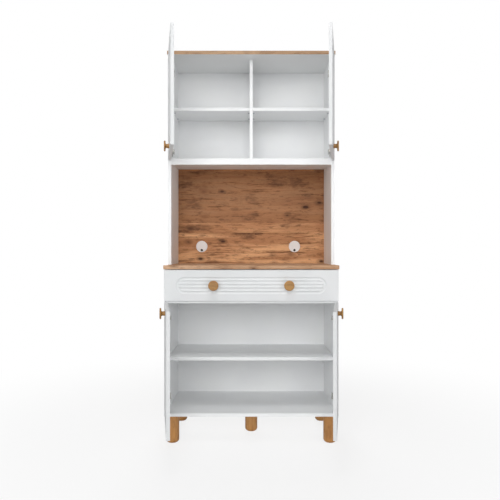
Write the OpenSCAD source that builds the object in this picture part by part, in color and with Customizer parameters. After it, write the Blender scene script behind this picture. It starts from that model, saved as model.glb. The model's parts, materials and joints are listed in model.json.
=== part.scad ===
// Tall kitchen cabinet: a base with a drawer and two doors on five round legs,
// an open niche over a wooden countertop, and a shallower upper part with two doors.
// X runs along the width, the fronts face -Y, and the floor is at z = 0.
// The origin lies on the floor, under the middle of the base.

/* [Cabinet] */
// Width over the two sides
cabinet_w = 800; // [600:5:1000]
// Depth of the base, from its door faces to its back
base_d = 396; // [330:2:480]
// Depth of the upper part, from its door faces to its back
upper_d = 281; // [230:1:340]
// Height of the legs
leg_h = 126; // [80:1:160]
// Height of the base between its legs and the countertop
base_h = 674; // [560:1:820]
// Height of the open niche over the countertop
niche_h = 496; // [400:1:600]
// Height of the upper part, without its top panel
upper_h = 508; // [420:1:620]

/* [Boards] */
// Thickness of the white boards
board_t = 15; // [15:1:18]
// Thickness of the countertop
counter_t = 18; // [18:1:28]
// Thickness of the top panel
top_t = 18; // [18:1:28]
// Thickness of the thin backs
back_t = 3; // [3:0.5:5]
// Overhang of the countertop past the door faces
counter_lip = 4; // [2:1:12]
// Overhang of the top panel past the door faces
top_lip = 3; // [2:1:12]
// Overhang of the countertop and the top panel past each side
side_lip = 2; // [0:1:8]
// Chamfer along the board edges that show
edge = 1; // [0.5:0.25:1.5]

/* [Legs] */
// Diameter of a leg
leg_d = 60; // [45:1:70]
// Rounding under the foot of a leg
foot_r = 15; // [4:1:20]
// Distance from the outline of the base to the middle of a leg
leg_inset = 36; // [36:1:60]
// Diameter of the bolt that holds a leg
leg_bolt_d = 8; // [6:1:10]
// Length of the bolt inside the leg
leg_bolt_l = 28; // [20:1:40]

/* [Doors] */
// Thickness of doors and drawer front
door_t = 15; // [15:1:18]
// Gap between the two doors of a pair
pair_gap = 3; // [2:0.5:6]
// Distance of a door's outer edge from the side's outer face
door_reveal = 1; // [0.5:0.5:3]
// Gap between the back of a door and the front of the carcass
door_gap = 2; // [2:0.5:4]
// Gap under the lower doors
lower_door_rise = 7; // [3:0.5:12]
// Gap between the lower doors and the drawer front
drawer_door_gap = 6; // [3:0.5:10]
// Gap under the upper doors, over the underside of the upper part
upper_door_rise = 5; // [3:0.5:12]
// Gap over the upper doors
upper_door_drop = 4; // [2:0.5:8]
// Angle at which the four doors stand open
open_angle = 80; // [0:1:95]

/* [Flutes] */
// Number of flutes side by side
flute_count = 5; // [3:1:7]
// Distance from flute to flute
flute_pitch = 16; // [12:0.5:20]
// Depth of a flute
flute_depth = 3; // [1.5:0.25:4]
// Radius of the cutter that makes a flute
flute_r = 10; // [8:0.5:14]
// Distance from the end of the drawer's flutes to the end of its front
drawer_flute_margin = 55; // [30:1:120]
// Distance from the end of a door's flutes to the door's top or bottom edge
door_flute_margin = 60; // [50:1:120]

/* [Knobs] */
// Diameter of a knob
knob_d = 47; // [35:1:55]
// Thickness of the knob's disc
knob_disc_t = 7.5; // [5:0.5:10]
// Projection of a knob from its front
knob_out = 23.5; // [18:0.5:30]
// Diameter of the knob's neck
neck_d = 18; // [14:1:22]
// Radius of the cove between neck and disc
neck_cove = 5; // [2:0.5:6]
// Distance of every knob from the middle of the cabinet
knob_x = 172.5; // [120:0.5:220]
// Distance of a door knob from the door's edge
knob_edge = 25; // [25:0.5:45]
// Diameter of the screw hole behind a knob
knob_hole_d = 4.5; // [4:0.5:5]

/* [Drawer] */
// Height of the drawer front
drawer_front_h = 143.5; // [120:0.5:180]
// Gap between the drawer front and the countertop
drawer_top_gap = 2.5; // [2:0.5:5]
// Length of the drawer box
drawer_l = 350; // [280:10:400]
// Height of the drawer's sides
drawer_side_h = 110; // [80:1:120]
// Thickness of the drawer's sides and back
drawer_t = 12; // [12:1:15]
// Thickness of the drawer's bottom
drawer_bottom_t = 3; // [3:0.5:5]
// Height of the drawer's bottom over the lower edge of its sides
groove_rise = 10; // [8:1:20]
// Depth of the groove that holds the bottom
groove_depth = 6; // [4:0.5:7]
// Depth of the rail under the drawer
rail_d = 80; // [60:1:120]

/* [Runners] */
// Room for a runner between the drawer and the side
runner_room = 12.5; // [12.5:0.5:14]
// Height of the fixed channel
channel_h = 28; // [28:1:34]
// Height of the channel over the rail
channel_rise = 5; // [3:1:10]
// Thickness of the runners' sheet steel
sheet = 1.2; // [1:0.1:1.5]
// Radius of a roller
roller_r = 10.3; // [9:0.1:10.3]
// Width of a roller
roller_w = 6; // [4:0.5:6.5]
// Radius of a roller's axle
axle_r = 2.5; // [2:0.25:3]
// Clearance of a roller on its axle, and of a hinge link on its pin
running = 0.1; // [0.05:0.01:0.1]
// Clearance between a roller and its track
roller_gap = 0.3; // [0.2:0.05:0.5]

/* [Hinges] */
// Diameter of a hinge cup
cup_d = 35; // [26:1:35]
// Distance of the cup's middle from the door's edge
cup_in = 22.5; // [20.5:0.5:24]
// Depth of the hole for the cup
cup_depth = 11.5; // [11:0.25:12]
// Distance from the upper edge of a door to its upper hinge
hinge_drop = 75; // [60:1:120]
// Distance from the lower edge of a lower door to its lower hinge
lower_hinge_rise = 63; // [50:1:120]
// Distance from the lower edge of an upper door to its lower hinge
upper_hinge_rise = 45; // [40:1:120]
// Distance from the front of the carcass to the plate's screws
plate_set = 37; // [28:1:37]

/* [Shelves] */
// Height of the base shelf over the bottom panel
base_shelf_rise = 234; // [150:1:350]
// Distance of the base shelf behind the front of the carcass
base_shelf_inset = 23; // [10:1:60]
// Height of the upper shelves over the floor of the upper part
upper_shelf_rise = 241; // [150:1:330]
// Distance of the upper shelves and the divider behind the front of the carcass
upper_shelf_inset = 50; // [20:1:80]
// Height of the rail across the front of the upper part
upper_rail_h = 30; // [20:1:60]
// Gap round a loose shelf
shelf_gap = 0.5; // [0.3:0.1:1]
// Diameter of a shelf pin
pin_d = 5; // [4:1:6]
// Depth of a shelf pin in its board
pin_depth = 7; // [6:0.25:7.25]

/* [Joints] */
// Diameter of a dowel
dowel_d = 8; // [6:1:8]
// Length of a dowel
dowel_l = 30; // [25:1:40]
// Depth of a dowel in the face of a board
dowel_sink = 9; // [8:0.5:10]

/* [Cable outlets] */
// Outer diameter of an outlet's rim
outlet_d = 60; // [50:1:80]
// Diameter of the cable hole in the cap
cable_d = 13; // [8:0.5:16]
// Distance of the left outlet from the middle
outlet_left_x = 261; // [150:1:320]
// Distance of the right outlet from the middle
outlet_right_x = 229; // [150:1:320]
// Height of the outlets over the countertop
outlet_rise = 88.5; // [60:0.5:300]

/* [Hidden] */

$fn = 64;
cut = 1;           // how far a cutter reaches past a face
dowel_fit = 0.1;   // clearance round a dowel, a pin or a bolt
arc_steps = 8;     // steps in a quarter of a turned profile
back_inset = 2;    // from the outer face of a side to the end of a back
back_rise = 1;     // from the underside of the bottom panel to the base's back
base_dowel_in = 40;      // from the front or the back of a board to its dowel
upper_dowel_in = 70;
drawer_dowel_in = [30, 25];   // from the lower and the upper edge of a drawer side
pin_in = [40, 50];            // from the front and the back of a shelf to its pins
panel_skin = 3;    // board left over the end of a leg's bolt
knob_pilot = 0.5;  // a knob's own hole is narrower than its screw's hole by this

white = [0.88, 0.88, 0.88];
oak = [0.66, 0.50, 0.34];
walnut = [0.60, 0.42, 0.30];
honey = [0.68, 0.50, 0.31];
beech = [0.80, 0.66, 0.48];
nickel = [0.72, 0.72, 0.70];
plastic = [0.90, 0.88, 0.86];

// Planes along the depth
base_front = -base_d / 2;
back = base_d / 2;
upper_front = back - upper_d;
base_carcass = base_front + door_t + door_gap;
upper_carcass = upper_front + door_t + door_gap;
board_back = back - back_t;

// Planes along the width
half_w = cabinet_w / 2;
inner = half_w - board_t;
door_edge = half_w - door_reveal;
door_w = door_edge - pair_gap / 2;

// Levels
bottom_z = leg_h;
floor_z = bottom_z + board_t;
counter_z = leg_h + base_h;
niche_z = counter_z + counter_t;
upper_z = niche_z + niche_h;
upper_floor_z = upper_z + board_t;
top_z = upper_z + upper_h;
drawer_z = counter_z - drawer_top_gap - drawer_front_h;
lower_door_z = floor_z + lower_door_rise;
lower_door_h = drawer_z - drawer_door_gap - lower_door_z;
upper_door_z = upper_z + upper_door_rise;
upper_door_h = top_z - upper_door_drop - upper_door_z;
rail_z = drawer_z - drawer_door_gap / 2 - board_t / 2;
channel_z = rail_z + board_t + channel_rise;
base_shelf_z = floor_z + base_shelf_rise;
upper_shelf_z = upper_floor_z + upper_shelf_rise;
divider_front = upper_carcass + upper_shelf_inset;

// Hinge geometry, from the outer front corner of a closed door: x inwards, y backwards
pivot_set = [5, 10];       // from the door's edge inwards, and from its back forwards
arm_pin_set = [4.5, 6];    // from the cup's middle inwards, and from the door's back
cup_pin_set = [2.9, 3.5];  // from the cup's outline inwards, and from the door's back
pivot = [pivot_set.x, door_t - pivot_set.y];
arm_pin = [cup_in + arm_pin_set.x, door_t - arm_pin_set.y];
cup_pin = [cup_in - cup_d / 2 + cup_pin_set.x, door_t - cup_pin_set.y];
cup_pin_r = 1;
link_t = 2;                // half the thickness of a link's free end
link_gap = 0.2;            // between a link's free end and the cup's pin
wall_x = board_t - door_reveal;
carcass_y = door_t + door_gap;
lower_hinges = [lower_door_z + lower_hinge_rise, lower_door_z + lower_door_h - hinge_drop];
upper_hinges = [upper_door_z + upper_hinge_rise, upper_door_z + upper_door_h - hinge_drop];
cup_flange = 1;
cup_wall = 1;
cup_fit = 0.1;             // a cup is smaller than its hole by this all round
cup_floor_gap = 0.3;       // between a cup and the floor of its hole
cup_screw = [9.5, 22.5];   // from the cup's middle to its screws
cup_screw_d = 4.2;
plate_screw = 16;          // from the plate's middle to its screws
plate_screw_d = 4.5;
pilot_d = 3;
pilot_depth = 10;
wing_t = 2;
spine_h = 5.3;
spine_l = 34;
spine_w = 10;
arm_l = 65;
arm_h = 13;
arm_sheet = 1.2;
arm_gap = 0.5;             // between an arm's cheeks and the plate's wings
neck_set = 17;             // from the carcass's front to where an arm reaches its flat top
arm_slope = 3;             // depth over which an arm rises to its flat top
arm_screws = [-12, 8];     // from the plate's middle to the side screw and the depth screw
arm_hole_d = 4.4;
slot_travel = 7;           // the depth screw's slot is longer than wide by this
nose_r = 3.5;
link_h = 9;
link_pin_r = 1.5;
link_wall = 0.9;

// Runners, measured from the side's inner face towards the drawer
runner_gap = 0.6;          // between the moving runner and the channel's lower lip
channel_set = 1;           // from the carcass's front to the channel
runner_set = 0.5;          // from the drawer front to the moving runner
runner_foot = 12;          // width of the foot under the drawer's side
front_roller_set = 14;     // from the carcass's front to the front roller
rear_roller_set = 12;      // from the drawer's back to the rear roller
roller_play = 0.4;         // beside a roller
axle_end = 2;              // from the side to the end of a rear axle
axle_head_r = axle_r + 1.5;
axle_head_t = 1;
runner_screw_d = 4;
channel_screws = [0.1, 0.5, 0.9];   // shares of a channel's length
foot_screws = [0.15, 0.85];         // shares of a drawer side's length
foot_pilot = groove_rise - 2;       // depth of the screws under the drawer's sides
groove_gap = 0.2;          // over and under the drawer's bottom in its grooves
bottom_play = 0.5;         // from the edge of the drawer's bottom to the end of its groove
drawer_half = inner - runner_room;
channel_lip = 9.5;
track_z = 2 * (roller_r + roller_gap) + sheet;
roller_in = 2 * sheet;
roller_mid_z = channel_z + sheet + roller_gap + roller_r;
drawer_low_z = channel_z + sheet + runner_gap + sheet;
drawer_back_y = base_front + door_t + drawer_l;
front_roller_y = base_carcass + front_roller_set;
rear_roller_y = drawer_back_y - rear_roller_set;
channel_screw_z = channel_z + channel_h / 2;
channel_screw_y = [for (share = channel_screws) base_carcass + channel_set + share * drawer_l];
foot_screw_x = drawer_half - drawer_t / 2;
foot_screw_y = [for (share = foot_screws) base_front + door_t + share * drawer_l];

// Cable outlets
rim_t = 2;
rim_wall = 1.4;
rim_flange = 1.5;          // how far the rim reaches past its neck
rim_neck = outlet_d / 2 - rim_flange;
cap_gap = 0.4;             // between cap and rim
cap_sink = 0.3;            // from the face of the rim back to the face of the cap
cap_r = rim_neck - rim_wall - cap_gap;
cap_t = 2.5;
cable_edge = 0.9;          // cap left beside the cable hole
cable_drop = cap_r - cable_d / 2 - cable_edge;
outlet_z = niche_z + outlet_rise;

// Places of the dowels. Each is [x, y, z] on the joint between two boards.
side_mid = half_w - board_t / 2;
base_dowel_y = [base_carcass + base_dowel_in, board_back - base_dowel_in];
upper_dowel_y = [upper_carcass + upper_dowel_in, board_back - upper_dowel_in];
divider_dowel_y = [divider_front + base_dowel_in, board_back - base_dowel_in];
base_foot_dowels = [for (s = [-1, 1], y = base_dowel_y) [s * side_mid, y, floor_z]];
base_head_dowels = [for (s = [-1, 1], y = base_dowel_y) [s * side_mid, y, counter_z]];
upper_foot_dowels = [for (s = [-1, 1], y = upper_dowel_y) [s * side_mid, y, niche_z]];
upper_head_dowels = [for (s = [-1, 1], y = upper_dowel_y) [s * side_mid, y, top_z]];
divider_foot_dowels = [for (y = divider_dowel_y) [0, y, upper_floor_z]];
divider_head_dowels = [for (y = divider_dowel_y) [0, y, top_z]];
front_rail_dowels = [for (s = [-1, 1]) [s * inner, base_carcass + rail_d / 2, rail_z + board_t / 2]];
ceiling_dowels = [for (s = [-1, 1], y = upper_dowel_y) [s * inner, y, upper_z + board_t / 2]];
upper_rail_dowels = [for (s = [-1, 1])
    [s * inner, upper_carcass + board_t / 2, upper_floor_z - upper_rail_h / 2]];
drawer_dowel_z = [drawer_low_z + drawer_dowel_in[0],
    drawer_low_z + drawer_side_h - drawer_dowel_in[1]];
drawer_front_dowels = [for (s = [-1, 1], z = drawer_dowel_z)
    [s * (drawer_half - drawer_t / 2), base_front + door_t, z]];
drawer_back_dowels = [for (s = [-1, 1], z = drawer_dowel_z)
    [s * (drawer_half - drawer_t), drawer_back_y - drawer_t / 2, z]];

// Places of the shelf pins. Each is [x, y, z, way], where way points out of the board.
base_pin_y = [base_carcass + base_shelf_inset + pin_in[0], board_back - pin_in[1]];
base_pins = [for (s = [-1, 1], y = base_pin_y) [s * inner, y, base_shelf_z, -s]];
upper_pin_y = [divider_front + pin_in[0], board_back - pin_in[1]];
upper_side_pins = [for (s = [-1, 1], y = upper_pin_y) [s * inner, y, upper_shelf_z, -s]];
divider_pins = [for (s = [-1, 1], y = upper_pin_y) [s * board_t / 2, y, upper_shelf_z, s]];

pin_flat = pin_d / 4;      // from a pin's axis up to the flat that carries the shelf

leg_places = [
    [-half_w + leg_inset, base_front + leg_inset], [half_w - leg_inset, base_front + leg_inset],
    [-half_w + leg_inset, back - leg_inset], [half_w - leg_inset, back - leg_inset], [0, 0]
];

function arc(centre, r, from, to, steps = arc_steps) =
    [for (i = [0 : steps]) let (a = from + (to - from) * i / steps)
        centre + r * [cos(a), sin(a)]];

// A board between two corners
module board(low, high) {
    translate(low) cube(high - low);
}

// A board whose four edges on the -Y face are chamfered
module fronted_board(low, high) {
    size = high - low;
    translate(low) intersection() {
        linear_extrude(size.z) polygon([[edge, 0], [size.x - edge, 0], [size.x, edge],
            [size.x, size.y], [0, size.y], [0, edge]]);
        rotate([90, 0, 90]) linear_extrude(size.x) polygon([[0, edge], [edge, 0],
            [size.y, 0], [size.y, size.z], [edge, size.z], [0, size.z - edge]]);
    }
}

// A lying board whose upper and lower edges at the front and at both ends are chamfered
module topped_board(low, high) {
    size = high - low;
    translate(low) intersection() {
        rotate([90, 0, 90]) linear_extrude(size.x) polygon([[0, edge], [edge, 0],
            [size.y, 0], [size.y, size.z], [edge, size.z], [0, size.z - edge]]);
        translate([0, size.y, 0]) rotate([90, 0, 0]) linear_extrude(size.y) polygon([
            [0, edge], [edge, 0], [size.x - edge, 0], [size.x, edge],
            [size.x, size.z - edge], [size.x - edge, size.z], [edge, size.z], [0, size.z - edge]]);
    }
}

// Dowels that stand, with the long end up (way = 1) or down (way = -1)
module standing_dowels(places, way, fit = 0) {
    for (p = places)
        translate(p) mirror([0, 0, way > 0 ? 0 : 1]) translate([0, 0, -dowel_sink - fit])
            cylinder(d = dowel_d + 2 * fit, h = dowel_l + 2 * fit);
}

// Dowels that lie across a side, with the long end towards the middle
module lying_dowels(places, fit = 0) {
    for (p = places)
        translate(p) mirror([p.x > 0 ? 1 : 0, 0, 0]) rotate([0, 90, 0])
            translate([0, 0, -dowel_sink - fit]) cylinder(d = dowel_d + 2 * fit, h = dowel_l + 2 * fit);
}

// Dowels of the drawer: from its front back into its sides, and from its sides into its back
module drawer_pegs(fit = 0) {
    for (p = drawer_front_dowels)
        translate(p) rotate([-90, 0, 0]) translate([0, 0, -dowel_sink - fit])
            cylinder(d = dowel_d + 2 * fit, h = dowel_l + 2 * fit);
    lying_dowels(drawer_back_dowels, fit);
}

module pin_holes(places) {
    for (p = places)
        translate([p.x + p[3] * cut, p.y, p.z - pin_flat]) rotate([0, -90 * p[3], 0])
            cylinder(d = pin_d + 2 * dowel_fit, h = pin_depth + dowel_fit + cut);
}

// A pin with a collar, cut flat where the shelf lies on it
module shelf_pin(place) {
    collar_rim = 1.5;
    collar_r = pin_d / 2 + collar_rim;
    collar_t = shelf_gap;
    reach = 9;
    translate([place.x, place.y, place.z - pin_flat])
        rotate([0, 90 * place[3], 0]) {
            translate([0, 0, -pin_depth]) cylinder(d = pin_d, h = pin_depth);
            intersection() {
                union() {
                    cylinder(r = collar_r, h = collar_t);
                    cylinder(d = pin_d, h = reach);
                }
                translate([place[3] > 0 ? -pin_flat : -2 * collar_r, -collar_r, 0])
                    cube([2 * collar_r + pin_flat, 2 * collar_r, reach]);
            }
        }
}

module base_side(s) {
    color(white) difference() {
        board([s < 0 ? -half_w : inner, base_carcass, floor_z],
              [s < 0 ? -inner : half_w, board_back, counter_z]);
        standing_dowels(base_foot_dowels, 1, dowel_fit);
        standing_dowels(base_head_dowels, -1, dowel_fit);
        lying_dowels(front_rail_dowels, dowel_fit);
        pin_holes(base_pins);
        plate_screw_holes(s, base_front, lower_hinges);
        for (y = channel_screw_y)
            translate([s * (inner - cut), y, channel_screw_z]) rotate([0, 90 * s, 0])
                cylinder(d = pilot_d, h = pilot_depth + cut);
    }
}

module base_side_left() base_side(-1);

module base_side_right() base_side(1);

module bottom_panel() {
    color(white) difference() {
        fronted_board([-half_w, base_front, bottom_z], [half_w, board_back, floor_z]);
        standing_dowels(base_foot_dowels, 1, dowel_fit);
        leg_bolt_set(dowel_fit);
    }
}

module base_shelf() {
    color(white) fronted_board(
        [-inner + shelf_gap, base_carcass + base_shelf_inset, base_shelf_z],
        [inner - shelf_gap, board_back - shelf_gap, base_shelf_z + board_t]);
}

module base_back() {
    color(white) board([-half_w + back_inset, board_back, bottom_z + back_rise],
        [half_w - back_inset, back, counter_z]);
}

module front_rail() {
    color(white) difference() {
        board([-inner, base_carcass, rail_z], [inner, base_carcass + rail_d, rail_z + board_t]);
        lying_dowels(front_rail_dowels, dowel_fit);
    }
}

module countertop() {
    color(walnut) difference() {
        topped_board([-half_w - side_lip, base_front - counter_lip, counter_z],
                     [half_w + side_lip, back, niche_z]);
        standing_dowels(base_head_dowels, -1, dowel_fit);
        standing_dowels(upper_foot_dowels, 1, dowel_fit);
    }
}

// A turned leg with a rounded foot and a bolt hole in its head
module leg(place) {
    leg_r = leg_d / 2;
    color(honey) translate(place) difference() {
        rotate_extrude() polygon(concat([[0, 0]],
            arc([leg_r - foot_r, foot_r], foot_r, -90, 0), [[leg_r, leg_h], [0, leg_h]]));
        translate([0, 0, leg_h - leg_bolt_l - dowel_fit])
            cylinder(d = leg_bolt_d + 2 * dowel_fit, h = leg_bolt_l + dowel_fit + cut);
    }
}

module leg_front_left() leg(leg_places[0]);

module leg_front_right() leg(leg_places[1]);

module leg_rear_left() leg(leg_places[2]);

module leg_rear_right() leg(leg_places[3]);

module leg_centre() leg(leg_places[4]);

module leg_bolt_set(fit = 0) {
    panel_reach = board_t - panel_skin;
    for (p = leg_places)
        translate([p.x, p.y, leg_h - leg_bolt_l - fit])
            cylinder(d = leg_bolt_d + 2 * fit, h = leg_bolt_l + panel_reach + 2 * fit);
}

module leg_bolts() {
    color(nickel) leg_bolt_set();
}

module upper_side(s) {
    color(white) difference() {
        board([s < 0 ? -half_w : inner, upper_carcass, niche_z],
              [s < 0 ? -inner : half_w, board_back, top_z]);
        standing_dowels(upper_foot_dowels, 1, dowel_fit);
        standing_dowels(upper_head_dowels, -1, dowel_fit);
        lying_dowels(ceiling_dowels, dowel_fit);
        lying_dowels(upper_rail_dowels, dowel_fit);
        pin_holes(upper_side_pins);
        plate_screw_holes(s, upper_front, upper_hinges);
    }
}

module upper_side_left() upper_side(-1);

module upper_side_right() upper_side(1);

module top_panel() {
    color(oak) difference() {
        topped_board([-half_w - side_lip, upper_front - top_lip, top_z],
                     [half_w + side_lip, back, top_z + top_t]);
        standing_dowels(upper_head_dowels, -1, dowel_fit);
        standing_dowels(divider_head_dowels, -1, dowel_fit);
    }
}

module upper_divider() {
    color(white) difference() {
        board([-board_t / 2, divider_front, upper_floor_z], [board_t / 2, board_back, top_z]);
        standing_dowels(divider_foot_dowels, 1, dowel_fit);
        standing_dowels(divider_head_dowels, -1, dowel_fit);
        pin_holes(divider_pins);
    }
}

module upper_shelf(s) {
    near = board_t / 2 + shelf_gap;
    far = inner - shelf_gap;
    color(white) fronted_board(
        [s < 0 ? -far : near, divider_front, upper_shelf_z],
        [s < 0 ? -near : far, board_back - shelf_gap, upper_shelf_z + board_t]);
}

module upper_shelf_left() upper_shelf(-1);

module upper_shelf_right() upper_shelf(1);

module niche_ceiling() {
    color(white) difference() {
        board([-inner, upper_carcass + board_t, upper_z], [inner, board_back, upper_floor_z]);
        lying_dowels(ceiling_dowels, dowel_fit);
        standing_dowels(divider_foot_dowels, 1, dowel_fit);
    }
}

module upper_front_rail() {
    color(white) difference() {
        fronted_board([-inner, upper_carcass, upper_floor_z - upper_rail_h],
                      [inner, upper_carcass + board_t, upper_floor_z]);
        lying_dowels(upper_rail_dowels, dowel_fit);
    }
}

module upper_back() {
    color(white) board([-half_w + back_inset, board_back, upper_z], [half_w - back_inset, back, top_z]);
}

module niche_back() {
    color(oak) difference() {
        board([-half_w + back_inset, board_back, niche_z], [half_w - back_inset, back, upper_z]);
        for (x = [-outlet_left_x, outlet_right_x])
            translate([x, board_back - cut, outlet_z]) rotate([-90, 0, 0])
                cylinder(r = rim_neck + dowel_fit, h = back_t + 2 * cut);
    }
}

module shelf_pins() {
    color(nickel) for (p = concat(base_pins, upper_side_pins, divider_pins)) shelf_pin(p);
}

module wood_dowels() {
    color(beech) {
        standing_dowels(base_foot_dowels, 1);
        standing_dowels(base_head_dowels, -1);
        standing_dowels(upper_foot_dowels, 1);
        standing_dowels(upper_head_dowels, -1);
        standing_dowels(divider_foot_dowels, 1);
        standing_dowels(divider_head_dowels, -1);
        lying_dowels(front_rail_dowels);
        lying_dowels(ceiling_dowels);
        lying_dowels(upper_rail_dowels);
    }
}

// The rim of a cable outlet: a rounded flange and a short neck through the back
module outlet_rims() {
    rim_r = outlet_d / 2;
    color(plastic) for (x = [-outlet_left_x, outlet_right_x])
        translate([x, board_back, outlet_z]) rotate([-90, 0, 0]) rotate_extrude() polygon(concat(
            [[rim_neck - rim_wall, back_t], [rim_neck - rim_wall, -rim_t]],
            arc([rim_r - rim_t, 0], rim_t, -90, 0),
            [[rim_neck, 0], [rim_neck, back_t]]));
}

// The cap of a cable outlet turns in its rim and has a cable hole near its edge
module outlet_cap(x) {
    color(plastic) translate([x, board_back - rim_t + cap_sink, outlet_z]) rotate([-90, 0, 0]) difference() {
        rotate_extrude() polygon([[0, 0], [cap_r - edge / 2, 0], [cap_r, edge / 2],
            [cap_r, cap_t], [0, cap_t]]);
        translate([0, cable_drop, -cut]) cylinder(d = cable_d, h = cap_t + 2 * cut);
    }
}

module outlet_cap_left() outlet_cap(-outlet_left_x);

module outlet_cap_right() outlet_cap(outlet_right_x);

// Both sides of the cabinet carry the same thing: children are drawn on the left and mirrored
module both_sides() {
    for (s = [0, 1]) mirror([s, 0, 0]) children();
}

// The fixed runner: a steel channel on the side, with the axle of its front roller
module drawer_channels() {
    head_x = roller_in + roller_w + roller_play;
    color(nickel) both_sides() translate([-inner, base_carcass + channel_set, channel_z]) {
        difference() {
            rotate([-90, 0, 0]) mirror([0, 1, 0]) linear_extrude(drawer_l) polygon([
                [0, 0], [channel_lip, 0], [channel_lip, sheet], [sheet, sheet],
                [sheet, channel_h - sheet], [channel_lip, channel_h - sheet],
                [channel_lip, channel_h], [0, channel_h]]);
            for (share = channel_screws)
                translate([-cut, share * drawer_l, channel_h / 2]) rotate([0, 90, 0])
                    cylinder(d = runner_screw_d, h = sheet + 2 * cut);
        }
        translate([0, front_roller_set - channel_set, roller_mid_z - channel_z]) rotate([0, 90, 0]) {
            translate([0, 0, sheet]) cylinder(r = axle_r, h = head_x - sheet);
            translate([0, 0, head_x]) cylinder(r = axle_head_r, h = axle_head_t);
        }
    }
}

// The moving runner: a sheet profile under the drawer's side, with a track over the front
// roller and the axle of the rear roller
module drawer_runners() {
    web_x = runner_room - sheet;
    foot_x = runner_room + runner_foot;
    low = drawer_low_z - channel_z;
    color(nickel) both_sides() translate([-inner, base_front + door_t + runner_set, channel_z]) {
        difference() {
            rotate([-90, 0, 0]) mirror([0, 1, 0]) linear_extrude(drawer_l - runner_set) polygon([
                [roller_in, track_z], [web_x, track_z], [web_x, low - sheet],
                [foot_x, low - sheet], [foot_x, low], [runner_room, low],
                [runner_room, track_z + sheet], [roller_in, track_z + sheet]]);
            for (share = foot_screws)
                translate([inner - foot_screw_x, share * drawer_l - runner_set, low - sheet - cut])
                    cylinder(d = runner_screw_d, h = sheet + 2 * cut);
        }
        translate([web_x, drawer_l - rear_roller_set - runner_set, roller_mid_z - channel_z])
            rotate([0, -90, 0]) {
                cylinder(r = axle_r, h = web_x - axle_end);
                cylinder(r = axle_head_r, h = web_x - roller_in - roller_w - roller_play);
            }
    }
}

// A roller with a groove turned into each face
module rollers(y) {
    rim = 2;
    hub = axle_r + 2.5;
    groove = 1;
    bevel = 0.5;
    color(plastic) both_sides() translate([-inner + roller_in, y, roller_mid_z]) rotate([0, 90, 0])
        rotate_extrude() polygon([
            [axle_r + running, 0], [hub, 0], [hub, groove], [roller_r - rim, groove],
            [roller_r - rim, 0], [roller_r - bevel, 0], [roller_r, bevel],
            [roller_r, roller_w - bevel], [roller_r - bevel, roller_w],
            [roller_r - rim, roller_w], [roller_r - rim, roller_w - groove],
            [hub, roller_w - groove], [hub, roller_w], [axle_r + running, roller_w]]);
}

module front_rollers() rollers(front_roller_y);

module rear_rollers() rollers(rear_roller_y);

// Cutters for a field of flutes that lies along X with its middle at the origin. The two outer
// flutes run on round the ends of the field, and the others end in them.
module flute_field(length) {
    field_r = (flute_count - 1) / 2 * flute_pitch;
    axis_rise = flute_r - flute_depth;
    end_x = length / 2 - field_r - sqrt(flute_r * flute_r - axis_rise * axis_rise);
    for (i = [0 : flute_count - 1]) {
        z = i * flute_pitch - field_r;
        reach = end_x + sqrt(max(0, field_r * field_r - z * z));
        translate([-reach, -axis_rise, z]) rotate([0, 90, 0]) cylinder(r = flute_r, h = 2 * reach);
    }
    for (s = [-1, 1])
        translate([s * end_x, 0, 0]) rotate([90, 0, 0]) rotate([0, 0, -90 * s])
            rotate_extrude(angle = 180) intersection() {
                translate([field_r, axis_rise]) circle(r = flute_r);
                translate([0, -flute_r]) square([field_r + 2 * flute_r, 4 * flute_r]);
            }
}

module drawer_front() {
    mid_z = drawer_z + drawer_front_h / 2;
    color(white) difference() {
        fronted_board([-door_edge, base_front, drawer_z],
                      [door_edge, base_front + door_t, drawer_z + drawer_front_h]);
        translate([0, base_front, mid_z]) flute_field(2 * (door_edge - drawer_flute_margin));
        for (s = [-1, 1])
            translate([s * knob_x, base_front, mid_z]) knob_screw_hole();
        drawer_pegs(dowel_fit);
        bottom_groove();
    }
}

// The groove round the inside of the drawer that holds its bottom
module bottom_groove() {
    half = drawer_half - drawer_t + groove_depth;
    front_y = base_front + door_t - groove_depth;
    translate([-half, front_y, drawer_low_z + groove_rise - groove_gap])
        cube([2 * half, drawer_back_y + cut - front_y, drawer_bottom_t + 2 * groove_gap]);
}

module knob_screw_hole() {
    translate([0, -cut, 0]) rotate([-90, 0, 0]) cylinder(d = knob_hole_d, h = door_t + 2 * cut);
}

module drawer_side(s) {
    near = drawer_half - drawer_t;
    color(white) difference() {
        board([s < 0 ? -drawer_half : near, base_front + door_t, drawer_low_z],
              [s < 0 ? -near : drawer_half, drawer_back_y, drawer_low_z + drawer_side_h]);
        bottom_groove();
        drawer_pegs(dowel_fit);
        for (y = foot_screw_y)
            translate([s * foot_screw_x, y, drawer_low_z - cut]) cylinder(d = pilot_d, h = foot_pilot + cut);
    }
}

module drawer_side_left() drawer_side(-1);

module drawer_side_right() drawer_side(1);

module drawer_back() {
    half = drawer_half - drawer_t;
    color(white) difference() {
        board([-half, drawer_back_y - drawer_t, drawer_low_z + groove_rise + drawer_bottom_t],
              [half, drawer_back_y, drawer_low_z + drawer_side_h]);
        drawer_pegs(dowel_fit);
    }
}

module drawer_bottom() {
    reach = groove_depth - bottom_play;
    half = drawer_half - drawer_t + reach;
    color(white) board([-half, base_front + door_t - reach, drawer_low_z + groove_rise],
        [half, drawer_back_y, drawer_low_z + groove_rise + drawer_bottom_t]);
}

module drawer_dowels() {
    color(beech) drawer_pegs();
}

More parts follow.
